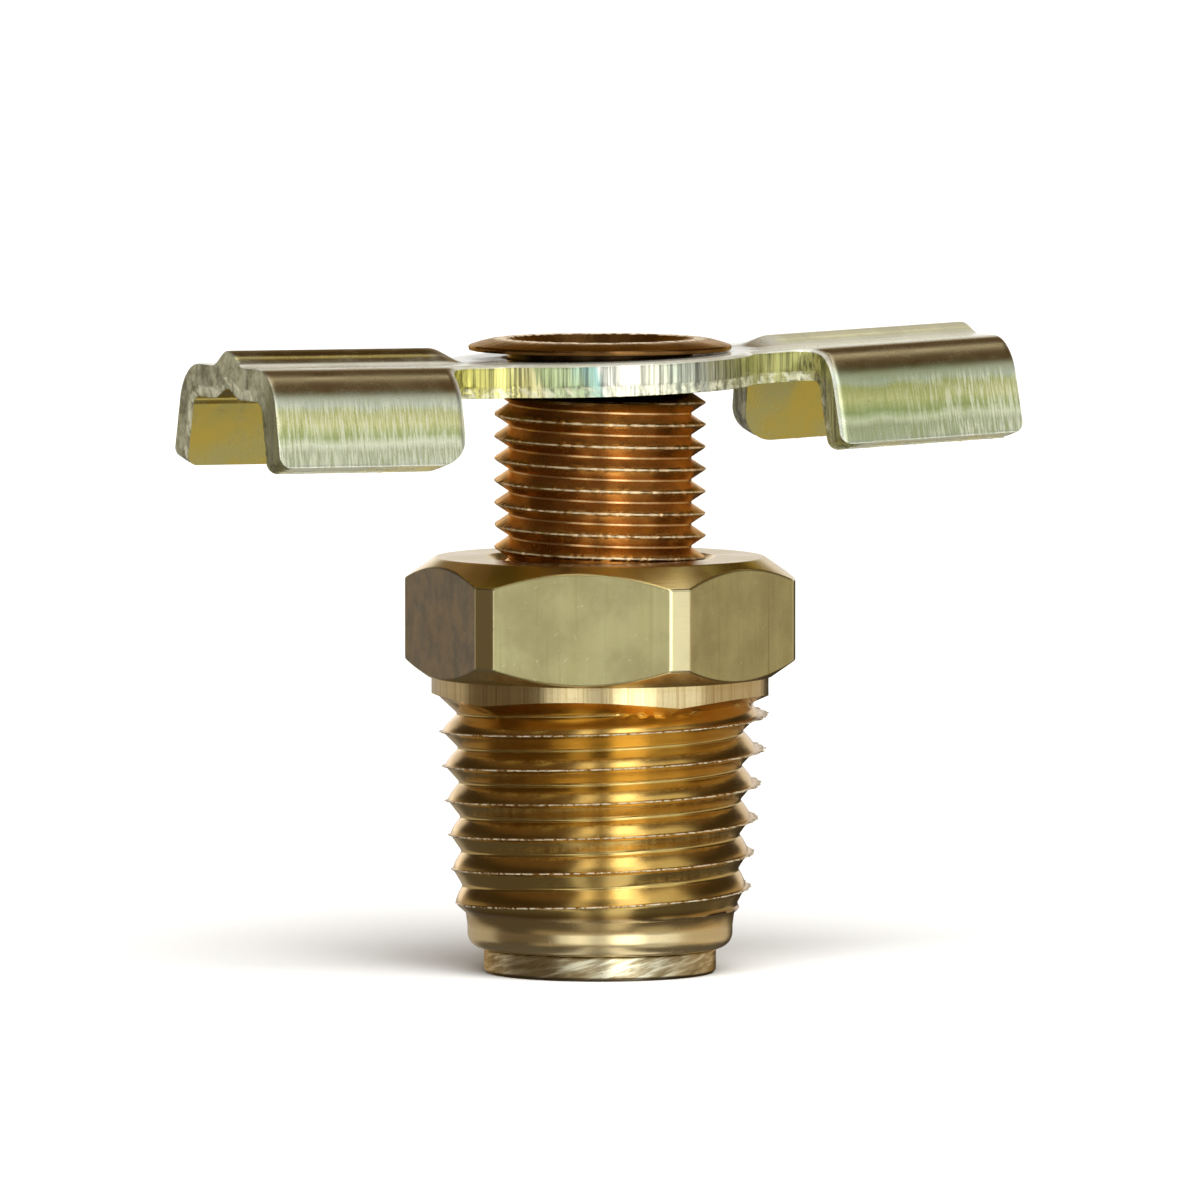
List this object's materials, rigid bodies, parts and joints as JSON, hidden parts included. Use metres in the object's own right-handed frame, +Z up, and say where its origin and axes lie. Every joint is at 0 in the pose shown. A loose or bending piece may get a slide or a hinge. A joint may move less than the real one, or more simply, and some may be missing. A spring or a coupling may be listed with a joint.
{
  "type": "drain cock",
  "caption": "Brass drain cock: hex body with male taper pipe thread, hollow stem with left-hand thread and conical head, and a winged sheet handle that lowers the stem off its seat.",
  "frame": {"origin": "middle of the stem head's under face, on which the closed part stands", "axes": "+Z up along the stem's axis, +X along the handle's wings"},
  "size_m": [0.0336, 0.016, 0.0263],
  "materials": {
    "body_brass": "turned and drawn, satin",
    "stem_brass": "turned, red-brown",
    "handle_zinc": "zinc plated, yellow passivated"
  },
  "bodies": {
    "valve_body": {"valve_body": "body_brass"},
    "stem": {"stem": "stem_brass"},
    "handle": {"wing_handle": "handle_zinc"}
  },
  "joints": [
    {"name": "stem_travel", "type": "slide", "parent": "valve_body", "child": "stem", "axis": [0, 0, -1], "range_m": [0, 0.00341]},
    {"name": "handle_turn", "type": "hinge", "parent": "stem", "child": "handle", "pos_m": [0, 0, 0.0246], "axis": [0, 0, 1], "range_deg": [0, 1350]}
  ],
  "couplings": [
    {"joint": "stem_travel", "follows": "handle_turn", "m_per_rad": 0.00014438}
  ]
}
